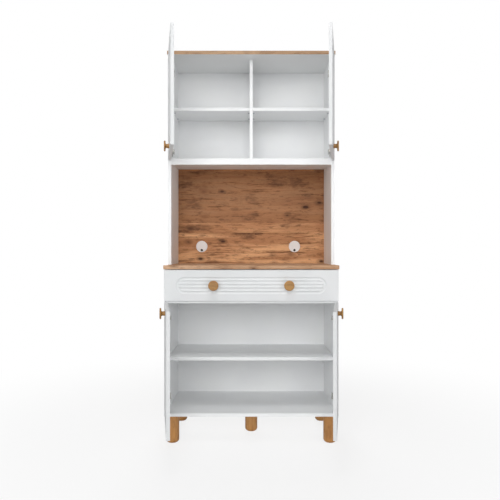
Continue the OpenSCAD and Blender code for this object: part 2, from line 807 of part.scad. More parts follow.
// A turned knob whose foot sits on y = 0 and whose disc faces -Y
module knob() {
    neck_r = neck_d / 2;
    disc_y = knob_out - knob_disc_t;
    rim_r = knob_disc_t / 2;
    foot_rim = 1;
    foot_r = neck_r + foot_rim;
    foot_t = 2;
    color(honey) rotate([90, 0, 0]) difference() {
        rotate_extrude() polygon(concat(
            [[0, 0], [foot_r, 0], [foot_r, foot_t]],
            arc([neck_r + neck_cove, disc_y - neck_cove], neck_cove, 180, 90),
            arc([knob_d / 2 - rim_r, disc_y + rim_r], rim_r, -90, 90, 2 * arc_steps),
            [[0, knob_out]]));
        translate([0, 0, -cut]) cylinder(d = knob_hole_d - knob_pilot, h = disc_y + cut);
    }
}

module drawer_knob(s) {
    translate([s * knob_x, base_front, drawer_z + drawer_front_h / 2]) knob();
}

module drawer_knob_left() drawer_knob(-1);

module drawer_knob_right() drawer_knob(1);

// Places children, drawn from a closed door's outer front corner, at the left or right edge
module at_edge(s, front) {
    mirror([s > 0 ? 1 : 0, 0, 0]) translate([-door_edge, front, 0]) children();
}

// Turns what hangs on a door about the door's pivot to the angle at which it stands open
module opened() {
    translate(pivot) rotate([0, 0, -open_angle]) translate(-pivot) children();
}

module door(s, front, low, height, hinges, knob_z) {
    knob_in = door_edge - knob_x;
    color(white) at_edge(s, front) opened() difference() {
        fronted_board([0, 0, low], [door_w, door_t, low + height]);
        translate([knob_in, 0, low + height / 2]) rotate([0, 90, 0])
            flute_field(height - 2 * door_flute_margin);
        for (z = hinges) {
            translate([cup_in, door_t - cup_depth, z]) rotate([-90, 0, 0])
                cylinder(d = cup_d, h = cup_depth + cut);
            for (end = [-1, 1])
                translate([cup_in + cup_screw.x, door_t - pilot_depth, z + end * cup_screw.y])
                    rotate([-90, 0, 0]) cylinder(d = pilot_d, h = pilot_depth + cut);
        }
        translate([knob_in, 0, knob_z]) knob_screw_hole();
    }
}

module upper_door(s) {
    door(s, upper_front, upper_door_z, upper_door_h, upper_hinges, upper_door_z + knob_edge);
}

module lower_door(s) {
    door(s, base_front, lower_door_z, lower_door_h, lower_hinges,
         lower_door_z + lower_door_h - knob_edge);
}

module upper_left_door() upper_door(-1);

module upper_right_door() upper_door(1);

module lower_left_door() lower_door(-1);

module lower_right_door() lower_door(1);

module upper_knob(s) {
    at_edge(s, upper_front) opened() translate([door_edge - knob_x, 0, upper_door_z + knob_edge]) knob();
}

module lower_knob(s) {
    at_edge(s, base_front) opened()
        translate([door_edge - knob_x, 0, lower_door_z + lower_door_h - knob_edge]) knob();
}

module upper_left_knob() upper_knob(-1);

module upper_right_knob() upper_knob(1);

module lower_left_knob() lower_knob(-1);

module lower_right_knob() lower_knob(1);

// A hinge cup pressed into the door, with the flange that is screwed to the door's back
// and the pin that the free end of the link rounds
module cup(z) {
    shell_r = cup_d / 2 - cup_fit;
    room_r = shell_r - cup_wall;
    depth = cup_depth - cup_floor_gap;
    ear_r = 6;
    pin = cup_pin - [cup_in, door_t];
    pin_half = sqrt(pow(shell_r - cup_fit, 2) - pow(abs(pin.x) + cup_pin_r, 2));
    translate([cup_in, door_t, z]) rotate([-90, 0, 0]) {
        difference() {
            union() {
                translate([0, 0, -depth]) cylinder(r = shell_r, h = depth + cup_flange);
                cylinder(d = cup_d, h = cup_flange);
                translate([cup_screw.x - ear_r, -cup_screw.y, 0])
                    cube([2 * ear_r, 2 * cup_screw.y, cup_flange]);
                for (s = [-1, 1])
                    translate([cup_screw.x, s * cup_screw.y, 0]) cylinder(r = ear_r, h = cup_flange);
            }
            translate([0, 0, -depth + cup_wall]) cylinder(r = room_r, h = depth + cut);
            for (s = [-1, 1])
                translate([cup_screw.x, s * cup_screw.y, -cut])
                    cylinder(d = cup_screw_d, h = cup_flange + 2 * cut);
        }
        translate([pin.x, pin_half, pin.y]) rotate([90, 0, 0]) cylinder(r = cup_pin_r, h = 2 * pin_half);
    }
}

module cups(s, front, hinges) {
    color(nickel) at_edge(s, front) opened() for (z = hinges) cup(z);
}

module upper_left_cups() cups(-1, upper_front, upper_hinges);

module upper_right_cups() cups(1, upper_front, upper_hinges);

module lower_left_cups() cups(-1, base_front, lower_hinges);

module lower_right_cups() cups(1, base_front, lower_hinges);

// Pilot holes for the screws of the mounting plates
module plate_screw_holes(s, front, hinges) {
    at_edge(s, front) for (z = hinges, end = [-1, 1])
        translate([wall_x - pilot_depth, carcass_y + plate_set, z + end * plate_screw])
            rotate([0, 90, 0]) cylinder(d = pilot_d, h = pilot_depth + cut);
}

// A mounting plate: two wings screwed to the side and a spine that carries the arm
module plate(z) {
    wing_w = 12;
    translate([wall_x, carcass_y + plate_set, z]) difference() {
        union() {
            translate([0, -wing_w / 2, -plate_screw]) cube([wing_t, wing_w, 2 * plate_screw]);
            for (s = [-1, 1])
                translate([0, 0, s * plate_screw]) rotate([0, 90, 0]) cylinder(d = wing_w, h = wing_t);
            translate([0, -spine_l / 2, -spine_w / 2]) cube([wing_t + spine_h, spine_l, spine_w]);
        }
        for (s = [-1, 1])
            translate([-cut, 0, s * plate_screw]) rotate([0, 90, 0])
                cylinder(d = plate_screw_d, h = wing_t + 2 * cut);
    }
}

module hinge_plates() {
    color(nickel) for (s = [-1, 1]) {
        at_edge(s, base_front) for (z = lower_hinges) plate(z);
        at_edge(s, upper_front) for (z = upper_hinges) plate(z);
    }
}

// The hole of the side screw and the slot of the depth screw in the top of an arm
module arm_screw_holes() {
    height = arm_sheet + 2 * cut;
    translate([wall_x + wing_t + spine_h - cut, carcass_y + plate_set, 0]) {
        for (y = [arm_screws[0], arm_screws[1] - slot_travel / 2, arm_screws[1] + slot_travel / 2])
            translate([0, y, 0]) rotate([0, 90, 0]) cylinder(d = arm_hole_d, h = height);
        translate([0, arm_screws[1] - slot_travel / 2, -arm_hole_d / 2])
            cube([height, slot_travel, arm_hole_d]);
    }
}

// An arm: a steel channel over the plate's spine, whose two cheeks reach into the cup
module arm(z) {
    top = wall_x + wing_t + spine_h + arm_sheet;
    low = wall_x + wing_t + arm_gap;
    tail = arm_pin.y + arm_l;
    inside = arm_h - 2 * arm_sheet;
    throat_y = carcass_y + arm_gap;
    neck_y = carcass_y + neck_set;
    outline = concat(arc(arm_pin, nose_r, 180, 360, 2 * arc_steps),
        [[arm_pin.x + nose_r, throat_y], [arm_pin.x, neck_y - arm_slope], [top, neck_y], [top, tail],
         [low, tail], [low, neck_y + arm_slope], [arm_pin.x - nose_r, throat_y]]);
    translate([0, 0, z]) {
        difference() {
            translate([0, 0, -arm_h / 2]) linear_extrude(arm_h) polygon(outline);
            translate([-arm_sheet, 0, -inside / 2]) linear_extrude(inside) polygon(outline);
            translate([low - cut, neck_y - arm_slope, -inside / 2])
                cube([top - low - arm_sheet + cut, tail, inside]);
            translate([arm_pin.x - 2 * nose_r, arm_pin.y - 2 * nose_r, -inside / 2])
                cube([4 * nose_r, 2 * nose_r + carcass_y - arm_pin.y, inside]);
            arm_screw_holes();
        }
        translate([arm_pin.x, arm_pin.y, -arm_h / 2]) cylinder(r = link_pin_r, h = arm_h);
    }
}

module hinge_arms() {
    color(nickel) for (s = [-1, 1]) {
        at_edge(s, base_front) for (z = lower_hinges) arm(z);
        at_edge(s, upper_front) for (z = upper_hinges) arm(z);
    }
}

// Where a point of a closed door's layout lies as the door stands open
function opened_place(place) =
    let (arm = place - pivot)
    pivot + [arm.x * cos(open_angle) + arm.y * sin(open_angle),
             arm.y * cos(open_angle) - arm.x * sin(open_angle)];

// A link that turns on the arm's pin. Its free end lies beside the cup's pin, towards the
// cup's middle, and follows the cup.
module link(z) {
    eye_r = link_pin_r + running + link_wall;
    reach = opened_place(cup_pin + [link_t + cup_pin_r + link_gap, 0]) - arm_pin;
    translate([arm_pin.x, arm_pin.y, z - link_h / 2]) rotate([0, 0, atan2(reach.y, reach.x)])
        difference() {
            union() {
                cylinder(r = eye_r, h = link_h);
                translate([0, -link_t / 2, 0]) cube([norm(reach), link_t, link_h]);
                translate([norm(reach), 0, 0]) cylinder(d = 2 * link_t, h = link_h);
            }
            translate([0, 0, -cut]) cylinder(r = link_pin_r + running, h = link_h + 2 * cut);
        }
}

module links(s, front, hinges) {
    color(nickel) at_edge(s, front) for (z = hinges) link(z);
}

module upper_left_links() links(-1, upper_front, upper_hinges);

module upper_right_links() links(1, upper_front, upper_hinges);

module lower_left_links() links(-1, base_front, lower_hinges);

module lower_right_links() links(1, base_front, lower_hinges);

base_side_left();
base_side_right();
bottom_panel();
base_shelf();
base_back();
front_rail();
countertop();
leg_front_left();
leg_front_right();
leg_rear_left();
leg_rear_right();
leg_centre();
leg_bolts();
upper_side_left();
upper_side_right();
top_panel();
upper_divider();
upper_shelf_left();
upper_shelf_right();
niche_ceiling();
upper_front_rail();
upper_back();
niche_back();
shelf_pins();
wood_dowels();
outlet_rims();
outlet_cap_left();
outlet_cap_right();
drawer_channels();
front_rollers();
hinge_plates();
hinge_arms();
drawer_front();
drawer_side_left();
drawer_side_right();
drawer_back();
drawer_bottom();
drawer_dowels();
drawer_knob_left();
drawer_knob_right();
drawer_runners();
rear_rollers();
upper_left_door();
upper_right_door();
lower_left_door();
lower_right_door();
upper_left_knob();
upper_right_knob();
lower_left_knob();
lower_right_knob();
upper_left_cups();
upper_right_cups();
lower_left_cups();
lower_right_cups();
upper_left_links();
upper_right_links();
lower_left_links();
lower_right_links();
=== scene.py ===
import json
import math

import bmesh
import bpy
from mathutils import Matrix, Vector


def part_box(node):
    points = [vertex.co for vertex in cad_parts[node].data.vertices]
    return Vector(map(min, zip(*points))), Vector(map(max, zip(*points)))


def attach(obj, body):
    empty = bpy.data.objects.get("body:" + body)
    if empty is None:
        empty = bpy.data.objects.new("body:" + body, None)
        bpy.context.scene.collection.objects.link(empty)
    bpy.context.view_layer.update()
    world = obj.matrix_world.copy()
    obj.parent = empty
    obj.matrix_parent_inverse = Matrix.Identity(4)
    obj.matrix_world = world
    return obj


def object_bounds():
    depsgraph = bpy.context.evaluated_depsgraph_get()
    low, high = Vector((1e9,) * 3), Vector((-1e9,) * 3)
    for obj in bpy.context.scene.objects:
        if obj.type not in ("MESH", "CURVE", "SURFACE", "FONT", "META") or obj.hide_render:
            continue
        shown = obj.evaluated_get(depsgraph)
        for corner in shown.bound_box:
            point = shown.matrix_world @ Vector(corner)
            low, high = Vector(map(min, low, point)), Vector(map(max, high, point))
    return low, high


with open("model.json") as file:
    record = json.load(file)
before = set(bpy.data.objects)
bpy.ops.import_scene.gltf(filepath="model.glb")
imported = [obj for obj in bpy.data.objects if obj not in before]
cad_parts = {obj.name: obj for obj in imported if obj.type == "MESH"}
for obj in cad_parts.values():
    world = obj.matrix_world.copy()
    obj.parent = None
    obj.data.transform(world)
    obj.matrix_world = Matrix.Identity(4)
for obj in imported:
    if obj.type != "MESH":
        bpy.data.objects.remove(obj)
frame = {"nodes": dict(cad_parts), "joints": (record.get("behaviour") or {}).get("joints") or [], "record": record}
cad_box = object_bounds()
joints = {joint["name"]: joint for joint in frame["joints"]}
bpy.ops.object.select_all(action="DESELECT")

# Sizes are in metres, and the cabinet faces -Y. A door is laid out closed: its inward places
# run from its outer edge to the middle of the cabinet, its backward ones from its face.
MM = 0.001
DOORS = ("upper_left", "upper_right", "lower_left", "lower_right")
OPEN_ANGLE = math.radians(80)        # how far every door stands open at rest
DOOR_T = 15 * MM
PIVOT = 5 * MM                       # the door's pivot lies this far in and this far back
KNOB_X = 172.5 * MM                  # the doors' knobs, from the middle of the cabinet

# Hinges
CUP_IN = 22.5 * MM                   # the cup's middle, inwards
CUP_FLANGE = 1 * MM
EAR_IN = 9.5 * MM                    # the cup's screws, from the cup's middle
EAR_UP = 22.5 * MM
EAR_R = 6 * MM
PLATE_TOP = 16 * MM                  # the plate's face, inwards
PLATE_BACK = 54 * MM                 # the plate's screws, backwards
PLATE_UP = 16 * MM                   # the same, above and below the middle of the hinge
ARM_TOP = 22.5 * MM                  # the arm's face, inwards
ARM_SCREWS = {"side": 42 * MM, "depth": 62 * MM}     # the arm's adjusting screws, backwards

# Screw heads, each with its radius and its rise
HEADS = {
    "small_screw": (3.4 * MM, 1.3 * MM),
    "grub_screw": (2.8 * MM, 0.9 * MM),
    "broad_screw": (5.0 * MM, 1.8 * MM),
    "flat_screw": (3.5 * MM, 0.6 * MM),
    "foot_screw": (3.0 * MM, 1.2 * MM),
}
HEAD_SIDES = 32
DOME = 0.7                           # share of the rise that is rounded
DOME_STEPS = 4
CROSS_W = 1.1                        # shares of the radius: the cross recess and its blades
BLADE_W = 0.3
BLADE_TIP = 0.45                     # share of a blade's width at its lower end
RECESS_FLOOR = 0.2 * MM              # what is left of the head under the recess

# Drawer runners
SHEET = 1.2 * MM                     # the steel of the channels
CHANNEL_SCREWS = (0.1, 0.5, 0.9)     # places as shares of a channel's length
FOOT_SCREWS = (0.15, 0.85)           # places as shares of a drawer side's length

# Cable outlets, each closed by a slit rubber flap
CABLE_R = 6.5 * MM                   # the hole in the cap
CABLE_EDGE = 0.9 * MM                # from the cable hole to the edge of the cap
FLAP_SIDES = 48
FLAP_T = 0.8 * MM
FLAP_LAP = 0.8 * MM                  # how far the flap reaches past the hole
FLAP_RIM = 1 * MM                    # the flat ring round the dish in its face
FLAP_DISH = 0.2 * MM
SLIT_W = 0.15 * MM
SLIT_LENGTH = 1.7                    # share of the hole's radius
SLITS = 3

# Wood and hardboard
FACE_DEPTH = 0.5 * MM                # what lies this near to a board's side belongs to that face
WANDER = 40 * MM                     # the width in which the grain wanders
KNOT_REACH = 0.5                     # share of a cell over which a knot draws the grain to itself
KNOT_PULL = 0.75                     # how strongly it does so at its heart

# Floor, light and camera
FLOOR_SIZE = 60                      # the floor's width and length
FADE = (0.4, 2.2)                    # distances from the origin between which it turns white
NEAR_WHITE = 0.78                    # share of plain white in it under the cabinet
SURROUNDINGS = 0.16                  # strength of the light from all round
MIDDLE = (0, 0, 0.9)                 # about half the cabinet's height up
LAMPS = (                            # name, place, the point it faces, width and watts
    ("front_lamp", (-0.8, -13.0, 5.0), MIDDLE, 7.0, 715),
    ("over_lamp", (-0.3, -1.7, 4.4), (0, -0.4, 0.7), 1.2, 38),
    ("left_lamp", (-3.8, -5.0, 1.6), MIDDLE, 3.0, 54),
    ("right_lamp", (3.8, -5.0, 1.6), MIDDLE, 3.0, 54),
    ("rear_lamp", (-0.5, 7.0, 2.8), MIDDLE, 3.0, 230),
)
EYE = (-6 * MM, -2.693, 0.888)       # the camera's place
SENSOR = 36                          # the camera's own sizes are in millimetres
LENS = 39.31


# Finishes

def tone(red, green, blue):
    """A colour picked on a scale of 0 to 255, as the linear values that shaders take."""
    parts = [value / 255 for value in (red, green, blue)]
    return [((part + 0.055) / 1.055) ** 2.4 for part in parts] + [1.0]


class Finish:
    """A material in the making. Its patterns read the object's own coordinates, in metres."""

    def __init__(self, name, roughness, metallic=0.0, coat=0.0, shine=0.5):
        self.material = bpy.data.materials.new(name)
        self.material.use_nodes = True
        self.tree = self.material.node_tree
        self.shader = self.tree.nodes["Principled BSDF"]
        self.feed(self.shader, "Roughness", roughness)
        self.feed(self.shader, "Metallic", metallic)
        self.feed(self.shader, "Coat Weight", coat)
        self.feed(self.shader, "Specular IOR Level", shine)
        self.place = self.add("ShaderNodeTexCoord").outputs["Object"]

    def feed(self, node, socket, value):
        """Sets a node's input to a value, or links another node's output to it."""
        if isinstance(value, bpy.types.NodeSocket):
            self.tree.links.new(value, node.inputs[socket])
        else:
            node.inputs[socket].default_value = value

    def add(self, kind, inputs=(), **settings):
        """Adds a node with its settings and its inputs, which go by name or number."""
        node = self.tree.nodes.new(kind)
        for key, value in settings.items():
            setattr(node, key, value)
        for socket, value in dict(inputs).items():
            self.feed(node, socket, value)
        return node

    def stretch(self, scale, turn=(0, 0, 0), source=None):
        """Coordinates turned, and scaled to the given number of units per metre."""
        node = self.add("ShaderNodeMapping",
                        {"Vector": source or self.place, "Scale": scale, "Rotation": turn})
        return node.outputs["Vector"]

    def noise(self, scale, detail=3, harshness=0.5, source=None, output="Fac"):
        """Cloudy noise, with about so many clouds per metre along each axis."""
        place = self.stretch(scale, source=source)
        node = self.add("ShaderNodeTexNoise",
                        {"Vector": place, "Scale": 1, "Detail": detail, "Roughness": harshness})
        return node.outputs[output]

    def span(self, value, low, high, start=0.0, end=1.0):
        """Reads a value between low and high as one between start and end, with soft ends."""
        limits = {"From Min": low, "From Max": high, "To Min": start, "To Max": end}
        node = self.add("ShaderNodeMapRange", {"Value": value, **limits},
                        interpolation_type="SMOOTHSTEP")
        return node.outputs["Result"]

    def number(self, operation, first, second):
        node = self.add("ShaderNodeMath", {0: first, 1: second}, operation=operation)
        return node.outputs["Value"]

    def vector(self, operation, first, second):
        other = "Scale" if operation == "SCALE" else 1
        node = self.add("ShaderNodeVectorMath", {0: first, other: second}, operation=operation)
        return node.outputs["Vector"]

    def split(self, kind, source, part):
        """One part of a vector (kind XYZ) or of a colour (kind Color)."""
        node = self.add(f"ShaderNodeSeparate{kind}", {0: source})
        return node.outputs[part]

    def mix(self, share, first, second):
        """The first colour, covered by a share of the second."""
        node = self.add("ShaderNodeMix", data_type="RGBA")
        places = {socket.identifier: place for place, socket in enumerate(node.inputs)}
        self.feed(node, places["Factor_Float"], share)
        self.feed(node, places["A_Color"], first)
        self.feed(node, places["B_Color"], second)
        outputs = {socket.identifier: socket for socket in node.outputs}
        return outputs["Result_Color"]

    def colour(self, value):
        self.feed(self.shader, "Base Color", value)

    def roughness(self, value):
        self.feed(self.shader, "Roughness", value)

    def relief(self, height, depth, below=None):
        """Raises the surface by height times depth, in metres, on top of another relief."""
        node = self.add("ShaderNodeBump", {"Height": height, "Distance": depth})
        if below is not None:
            self.feed(node, "Normal", below)
        self.feed(self.shader, "Normal", node.outputs["Normal"])
        return node.outputs["Normal"]


def even_surface(name, dim, bright, roughness, speck_size, depth, shine=0.5):
    """A surface of nearly one colour: cloudy over a hand's width, with a fine moulded grain."""
    surface = Finish(name, roughness, shine=shine)
    cloud = surface.noise((6, 6, 6), detail=2)
    speck = surface.noise([1 / speck_size] * 3, detail=2)
    surface.colour(surface.mix(surface.span(cloud, 0.35, 0.65), tone(*dim), tone(*bright)))
    surface.roughness(surface.span(speck, 0.3, 0.7, roughness - 0.06, roughness + 0.06))
    wave = surface.relief(surface.noise((30, 30, 30), detail=1), depth)
    surface.relief(speck, depth / 3, below=wave)
    return surface


def backed(surface, axis, test, place, other):
    """Gives another colour to the faces that lie on one side of a place on an axis."""
    beyond = surface.number(test, surface.split("XYZ", surface.place, axis), place)
    front_colour = surface.shader.inputs["Base Color"].links[0].from_socket
    surface.colour(surface.mix(beyond, front_colour, other))
    return surface


def raw_behind(surface):
    """Hardboard shows its bare brown fibres on the cabinet's rear face."""
    fibre = surface.noise((160, 160, 160), detail=6, harshness=0.75)
    flock = surface.noise((9, 9, 9), detail=4)
    brown = surface.mix(surface.span(fibre, 0.35, 0.65), tone(104, 74, 50), tone(146, 110, 78))
    brown = surface.mix(surface.span(flock, 0.3, 0.7, 0, 0.35), brown, tone(126, 98, 72))
    return backed(surface, "Y", "GREATER_THAN", cad_box[1].y - FACE_DEPTH, brown)


def white_board():
    return even_surface("white_melamine", (242, 243, 244), (245, 246, 246), 0.52, 0.8 * MM, 0.04 * MM)


def white_front():
    return even_surface("white_satin_foil", (220, 222, 223), (224, 225, 226), 0.5, 0.5 * MM, 0.03 * MM)


def white_back():
    return raw_behind(even_surface("white_hardboard", (246, 247, 248), (248, 249, 249), 0.6,
                                   1.2 * MM, 0.05 * MM, shine=0.2))


def knot_cells(timber, lay, cell, share):
    """Scatters knots, in a share of the cells of a length and a width.

    It gives how far each point is drawn to its knot, how far the knot is away, in cells,
    and whether the cell has one, as 1 or 0.
    """
    length, width = cell
    cells_per_metre = (1 / length, 1 / width, 1 / width)
    scaled = timber.stretch(cells_per_metre, source=lay)
    cells = timber.add("ShaderNodeTexVoronoi", {"Vector": scaled, "Scale": 1})
    chance = timber.split("Color", cells.outputs["Color"], "Red")
    there = timber.number("LESS_THAN", chance, share)
    away = cells.outputs["Distance"]
    pull = timber.number("MULTIPLY", timber.span(away, 0, KNOT_REACH, KNOT_PULL, 0), there)
    drawn = timber.vector("SUBTRACT", scaled, cells.outputs["Position"])
    drawn = timber.vector("DIVIDE", timber.vector("SCALE", drawn, pull), cells_per_metre)
    return drawn, away, there


def glued_boards(timber, lay, height, log):
    """Boards of about a height. It gives each board's shade, and its place in the log."""
    across = timber.number("ADD", timber.split("XYZ", lay, "Z"), log)
    boards = timber.add("ShaderNodeTexVoronoi", {"W": across, "Scale": 1 / height},
                        voronoi_dimensions="1D")
    own = boards.outputs["Color"]
    return timber.split("Color", own, "Red"), own


def wood(name, light, dark, deep, along="X", flat=False, board=0.0, log=0.0, knot=(0.2, 0.1),
         knots=0.0, roughness=0.5, coat=0.0, shine=0.5, figure=1.0):
    """Wood whose grain runs along an axis and flows round its knots.

    Light and dark are the colours of its bands, and deep that of its marks and knots. It is
    laid in boards of about the given height, each of its own shade, or is one piece. Another
    log gives other boards. A knot's cell is knot[0] long and knot[1] wide, and knots is the
    share of cells with one. A flat pattern is a printed face, the same at any depth. Figure
    is the strength of the deep marks.
    """
    timber = Finish(name, roughness, coat=coat, shine=shine)
    tilt = math.radians(90) if along == "Z" else 0
    lay = timber.stretch((1, 0 if flat else 1, 1), turn=(0, tilt, 0))
    drawn, away, there = knot_cells(timber, lay, knot, knots)
    drift = timber.noise((2.2, 6, 6), detail=3, source=lay, output="Color")
    drift = timber.vector("SUBTRACT", drift, (0.5, 0.5, 0.5))
    drift = timber.vector("MULTIPLY", drift, (0, WANDER, WANDER))
    flow = timber.vector("ADD", timber.vector("SUBTRACT", lay, drawn), drift)
    shade = 0.5
    if board:
        shade, own_place = glued_boards(timber, lay, board, log)
        flow = timber.vector("ADD", flow, own_place)

    bands = timber.noise((1.3, 17, 17), detail=4, harshness=0.6, source=flow)
    streaks = timber.noise((2.6, 62, 62), detail=8, harshness=0.7, source=flow)
    lines = timber.noise((5, 240, 240), detail=4, harshness=0.6, source=flow)
    pores = timber.noise((28, 1300, 1300), detail=2, source=flow)
    clouds = timber.noise((7, 16, 16), detail=5, harshness=0.65, source=flow)
    flecks = timber.noise((22, 84, 84), detail=5, harshness=0.65, source=flow)

    # Each mark covers the body with a colour, most where its pattern is low
    marks = (
        (shade, 0.2, 0.8, 0.65, dark),
        (shade, 0.05, 0.4, 0.3 * figure, deep),
        (streaks, 0.38, 0.54, 0.75, dark),
        (clouds, 0.3, 0.48, 0.5 * figure, deep),
        (lines, 0.34, 0.5, 0.5, dark),
        (streaks, 0.3, 0.45, 0.7 * figure, deep),
        (flecks, 0.34, 0.47, 0.35 * figure, deep),
        (pores, 0.28, 0.42, 0.4, deep),
    )
    body = timber.mix(timber.span(bands, 0.4, 0.6), tone(*dark), tone(*light))
    for pattern, full, none, cover, colour in marks:
        body = timber.mix(timber.span(pattern, full, none, cover, 0), body, tone(*colour))

    # A knot is a soft halo with a dark heart, both with a ragged outline
    ragged = timber.number("ADD", away, timber.span(clouds, 0.3, 0.7, 0.1, -0.1))
    for full, none, cover in ((0.08, 0.4, 0.45), (0.05, 0.15, 0.9)):
        spot = timber.number("MULTIPLY", timber.span(ragged, full, none, cover, 0), there)
        body = timber.mix(spot, body, tone(*deep))
    timber.colour(body)

    timber.roughness(timber.span(streaks, 0.3, 0.7, roughness + 0.08, roughness - 0.06))
    grain = timber.relief(streaks, 0.10 * MM)
    timber.relief(timber.span(pores, 0.28, 0.42), 0.06 * MM, below=grain)
    return timber


def countertop_wood():
    return wood("countertop_oak", (213, 176, 144), (178, 136, 102), (96, 58, 34), board=0.11,
                knot=(0.08, 0.04), knots=0.6, shine=0.2)


def top_wood():
    """The top panel's wood, with a white underside."""
    panel = wood("top_oak", (202, 170, 137), (170, 137, 105), (112, 82, 56), board=0.11,
                 knot=(0.1, 0.05), knots=0.4, shine=0.2)
    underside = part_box("top_panel")[0].z + FACE_DEPTH
    return backed(panel, "Z", "LESS_THAN", underside, tone(238, 239, 239))


def niche_wood():
    # The log of 8.3 is picked so that the topmost board comes out dark: partly the wood's own tone, partly painted
    # shade under the niche's ceiling.
    return raw_behind(wood("niche_oak", (229, 176, 128), (178, 124, 84), (60, 31, 15), flat=True,
                           board=0.085, log=8.3, knot=(0.09, 0.05), knots=0.42, roughness=0.55,
                           shine=0.2, figure=1.35))


def leg_wood():
    return wood("leg_beech", (204, 150, 88), (178, 124, 64), (126, 78, 36),
                along="Z", roughness=0.42, coat=0.15)


def knob_wood():
    return wood("knob_beech", (186, 140, 76), (160, 114, 54), (110, 72, 32), roughness=0.45, coat=0.1)


def dowel_wood():
    return wood("dowel_beech", (222, 188, 142), (196, 158, 112), (150, 112, 74))


def plated_steel(name, dim, bright, roughness):
    """Pressed and plated steel: fine rolling lines and a slightly uneven shine."""
    steel = Finish(name, roughness, metallic=1.0)
    rolled = steel.noise((1500, 1500, 40), detail=3)
    cloud = steel.noise((120, 120, 120), detail=2)
    steel.colour(steel.mix(steel.span(cloud, 0.35, 0.65), tone(*dim), tone(*bright)))
    steel.roughness(steel.span(rolled, 0.3, 0.7, roughness - 0.08, roughness + 0.1))
    steel.relief(rolled, 0.004 * MM)
    return steel


def hinge_steel():
    return plated_steel("nickel_plate", (186, 184, 178), (204, 202, 197), 0.3)


def zinc_steel():
    return plated_steel("zinc_plate", (178, 182, 190), (204, 206, 210), 0.36)


def runner_steel():
    return even_surface("powder_coat", (224, 224, 221), (230, 230, 228), 0.44, 0.6 * MM, 0.06 * MM)


def roller_plastic():
    return even_surface("natural_nylon", (222, 219, 208), (230, 228, 219), 0.38, 0.9 * MM, 0.02 * MM)


def outlet_plastic():
    return even_surface("outlet_plastic", (226, 220, 218), (231, 226, 224), 0.36, 0.4 * MM, 0.02 * MM)


def rubber():
    return even_surface("black_rubber", (9, 9, 10), (15, 15, 16), 0.8, 0.4 * MM, 0.03 * MM)


# Each of these is named for the material slot of the record that it fills
FINISHES = (white_board, white_front, white_back, countertop_wood, top_wood, niche_wood, leg_wood,
            knob_wood, hinge_steel, zinc_steel, runner_steel, roller_plastic, dowel_wood,
            outlet_plastic)
materials = {finish.__name__: finish().material for finish in FINISHES}
rubber_material = rubber().material
for row in frame["record"]["subparts"]:
    mesh = frame["nodes"][row["node"]].data
    mesh.materials.clear()
    mesh.materials.append(materials[row["material_slot"]])


# Modelling by hand

def faces_towards(edit_mesh, direction, cosine=0.9):
    """Selects the faces that look in a direction and lets go of the others."""
    direction = Vector(direction)
    for face in edit_mesh.faces:
        face.select_set(face.normal.dot(direction) > cosine)
    edit_mesh.select_flush_mode()


def begin(name):
    """Takes the primitive just added into edit mode, with its mesh in hand."""
    piece = bpy.context.object
    piece.name = name
    bpy.ops.object.mode_set(mode="EDIT")
    return piece, bmesh.from_edit_mesh(piece.data)


def settle():
    """Leaves edit mode and puts the piece's place into its mesh."""
    bpy.ops.object.mode_set(mode="OBJECT")
    bpy.ops.object.transform_apply(location=True, rotation=True, scale=True)


def smooth(piece, angle=35):
    """Smooths what is round and lets go of the piece."""
    piece.select_set(True)
    bpy.ops.object.shade_smooth_by_angle(angle=math.radians(angle))
    bpy.ops.object.select_all(action="DESELECT")


def combine(piece, other, operation):
    """Takes another piece out of this one, or joins it on, and removes the other."""
    change = piece.modifiers.new("change", "BOOLEAN")
    change.operation = operation
    change.solver = "EXACT"
    change.object = other
    bpy.context.view_layer.objects.active = piece
    bpy.ops.object.modifier_apply(modifier=change.name)
    bpy.data.objects.remove(other)


# Screws

def cross_cutter(width, blade, top, depth):
    """Two crossed blades that narrow downwards, as a driver's tip does."""
    blades = []
    for quarter in (0, 1):
        bpy.ops.mesh.primitive_cube_add(size=1, scale=(width, blade, depth),
                                        location=(0, 0, top - depth / 2),
                                        rotation=(0, 0, quarter * math.pi / 2))
        tip, edit_mesh = begin("blade")
        faces_towards(edit_mesh, (0, 0, -1))
        bpy.ops.transform.resize(value=(BLADE_TIP, BLADE_TIP, 1))
        bpy.ops.object.mode_set(mode="OBJECT")
        blades.append(tip)
    combine(blades[1], blades[0], "UNION")
    return blades[1]


def screw_head(name):
    """A domed screw head with a cross recess. It faces +Z and its seat is at the origin."""
    radius, rise = HEADS[name]
    bpy.ops.mesh.primitive_cylinder_add(vertices=HEAD_SIDES, radius=radius, depth=rise,
                                        location=(0, 0, rise / 2))
    head, edit_mesh = begin(name)
    faces_towards(edit_mesh, (0, 0, 1))
    bpy.ops.mesh.bevel(offset=DOME * rise, segments=DOME_STEPS, affect="EDGES")
    settle()
    bpy.ops.object.select_all(action="DESELECT")
    cutter = cross_cutter(CROSS_W * radius, BLADE_W * radius, rise + RECESS_FLOOR, rise)
    combine(head, cutter, "DIFFERENCE")
    smooth(head)
    return head


def copy_to(screw, name, point, direction, turn, body, slot):
    """Sets a copy of a screw, with a mesh of its own, on a point and rides it on a body.

    Its head faces the direction, and its cross is turned by the given angle.
    """
    piece = screw.copy()
    piece.data = screw.data.copy()
    piece.name = name
    bpy.context.scene.collection.objects.link(piece)
    aim = Vector(direction).to_track_quat("Z", "Y").to_matrix().to_4x4()
    piece.data.transform(Matrix.Translation(point) @ aim @ Matrix.Rotation(turn, 4, "Z"))
    piece.data.materials.clear()
    piece.data.materials.append(materials[slot])
    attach(piece, body)


def door_frame(door):
    """The door's pivot and its side: -1 left, 1 right."""
    side = -1 if "left" in door else 1
    return Vector(joints[f"{door}_hinges"]["pos_m"]), side


